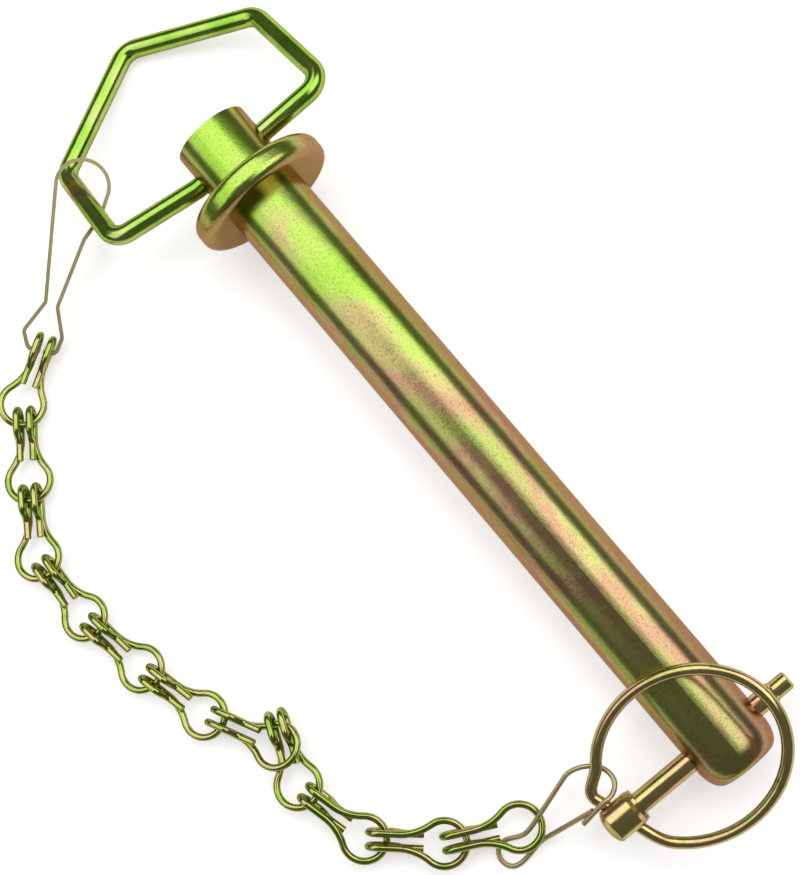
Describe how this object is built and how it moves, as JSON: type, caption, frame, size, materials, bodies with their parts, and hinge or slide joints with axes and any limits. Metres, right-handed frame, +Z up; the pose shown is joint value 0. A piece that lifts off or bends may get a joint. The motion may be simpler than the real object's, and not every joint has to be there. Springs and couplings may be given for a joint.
{
  "type": "hitch pin",
  "caption": "Steel hitch pin with a collar, a bent wire swing handle, a double-hook wire tether chain with two clips, and a linchpin with an oval snap ring.",
  "frame": {"origin": "the point where the pin's axis meets the collar's bearing face", "axes": "+X along the pin toward its tip, level; +Y toward the linchpin's tail; +Z up"},
  "size_m": [0.2394, 0.1351, 0.0358],
  "materials": {
    "pin_zinc": "yellow chromate zinc plate, iridescent, ground bar",
    "handle_zinc": "yellow chromate zinc plate on bent wire",
    "linchpin_zinc": "yellow chromate zinc plate, golden olive",
    "chain_zinc": "yellow chromate zinc plate, olive",
    "clip_zinc": "yellow chromate zinc plate, pinkish beige"
  },
  "bodies": {
    "pin": {"hitch_pin": "pin_zinc"},
    "handle": {"handle": "handle_zinc"},
    "linchpin": {"linchpin": "linchpin_zinc"},
    "ring": {"linchpin_ring": "linchpin_zinc"},
    "lower_clip": {"lower_clip": "clip_zinc"},
    "link_11": {"chain_link_11": "chain_zinc"},
    "link_10": {"chain_link_10": "chain_zinc"},
    "link_09": {"chain_link_09": "chain_zinc"},
    "link_08": {"chain_link_08": "chain_zinc"},
    "link_07": {"chain_link_07": "chain_zinc"},
    "link_06": {"chain_link_06": "chain_zinc"},
    "link_05": {"chain_link_05": "chain_zinc"},
    "link_04": {"chain_link_04": "chain_zinc"},
    "link_03": {"chain_link_03": "chain_zinc"},
    "link_02": {"chain_link_02": "chain_zinc"},
    "link_01": {"chain_link_01": "chain_zinc"},
    "upper_clip": {"upper_clip": "clip_zinc"}
  },
  "joints": [
    {"name": "handle_swing", "type": "hinge", "parent": "pin", "child": "handle", "pos_m": [-0.01401, 0, 0.00071], "axis": [0, 1, 0], "range_deg": [0, 60]},
    {"name": "linchpin_pull", "type": "slide", "parent": "pin", "child": "linchpin", "axis": [0, -1, 0], "range_m": [0, 0.0295]},
    {"name": "ring_flip", "type": "hinge", "parent": "linchpin", "child": "ring", "pos_m": [0.15854, -0.02835, -0.00807], "axis": [0.9455, 0.3256, 0], "range_deg": [0, 110]},
    {"name": "lower_clip_on_ring", "type": "hinge", "parent": "ring", "child": "lower_clip", "pos_m": [0.15854, -0.02835, -0.00807], "axis": [0.9455, 0.3256, 0], "range_deg": [-111, 0]},
    {"name": "link_11_turn", "type": "hinge", "parent": "lower_clip", "child": "link_11", "pos_m": [0.14612, -0.04858, -0.01402], "axis": [0, 0, 1], "range_deg": [0, 7]},
    {"name": "link_10_turn", "type": "hinge", "parent": "link_11", "child": "link_10", "pos_m": [0.13823, -0.0642, -0.01384], "axis": [0, 0, 1], "range_deg": [-25, 0]},
    {"name": "link_09_turn", "type": "hinge", "parent": "link_10", "child": "link_09", "pos_m": [0.12585, -0.07794, -0.01378], "axis": [0, 0, 1], "range_deg": [-7, 0]},
    {"name": "link_08_turn", "type": "hinge", "parent": "link_09", "child": "link_08", "pos_m": [0.10672, -0.08264, -0.01478], "axis": [0, 0, 1], "range_deg": [0, 2]},
    {"name": "link_07_turn", "type": "hinge", "parent": "link_08", "child": "link_07", "pos_m": [0.09665, -0.08048, -0.01285], "axis": [-0.299, 0.0299, 0.9538], "range_deg": [0, 2]},
    {"name": "link_06_turn", "type": "hinge", "parent": "link_07", "child": "link_06", "pos_m": [0.08005, -0.08992, -0.01468], "axis": [0, 0, 1], "range_deg": [0, 20]},
    {"name": "link_05_turn", "type": "hinge", "parent": "link_06", "child": "link_05", "pos_m": [0.06166, -0.09509, -0.01496], "axis": [0.9766, 0.174, 0.1268], "range_deg": [-11, 0]},
    {"name": "link_04_turn", "type": "hinge", "parent": "link_05", "child": "link_04", "pos_m": [0.04315, -0.09838, -0.01494], "axis": [-0.1281, -0.0009, 0.9918], "range_deg": [0, 11]},
    {"name": "link_03_turn", "type": "hinge", "parent": "link_04", "child": "link_03", "pos_m": [0.0296, -0.09848, -0.01482], "axis": [-0.007, 1, 0], "range_deg": [0, 40]},
    {"name": "link_02_turn", "type": "hinge", "parent": "link_03", "child": "link_02", "pos_m": [0.00808, -0.08868, -0.01485], "axis": [0.8279, -0.548, 0.1194], "range_deg": [-11, 0]},
    {"name": "link_01_turn", "type": "hinge", "parent": "link_02", "child": "link_01", "pos_m": [-0.0076, -0.0783, -0.01415], "axis": [0.5459, -0.8247, 0.1479], "range_deg": [-4, 0]},
    {"name": "upper_clip_turn", "type": "hinge", "parent": "link_01", "child": "upper_clip", "pos_m": [-0.01465, -0.06631, -0.01392], "axis": [-0.5352, 0.8256, 0.1788], "range_deg": [0, 7]}
  ],
  "couplings": [
    {"joint": "lower_clip_on_ring", "follows": "ring_flip", "ratio": -1},
    {"joint": "link_11_turn", "follows": "linchpin_pull", "rad_per_m": 3.54},
    {"joint": "link_10_turn", "follows": "linchpin_pull", "rad_per_m": -14.337},
    {"joint": "link_09_turn", "follows": "linchpin_pull", "rad_per_m": -3.412},
    {"joint": "link_08_turn", "follows": "linchpin_pull", "rad_per_m": 0.784},
    {"joint": "link_07_turn", "follows": "linchpin_pull", "rad_per_m": 0.301},
    {"joint": "link_06_turn", "follows": "linchpin_pull", "rad_per_m": 11.184},
    {"joint": "link_05_turn", "follows": "handle_swing", "ratio": -0.1731},
    {"joint": "link_04_turn", "follows": "handle_swing", "ratio": 0.1722},
    {"joint": "link_03_turn", "follows": "handle_swing", "ratio": 0.6524},
    {"joint": "link_02_turn", "follows": "handle_swing", "ratio": -0.1666},
    {"joint": "link_01_turn", "follows": "handle_swing", "ratio": -0.0417},
    {"joint": "upper_clip_turn", "follows": "handle_swing", "ratio": 0.1083}
  ]
}
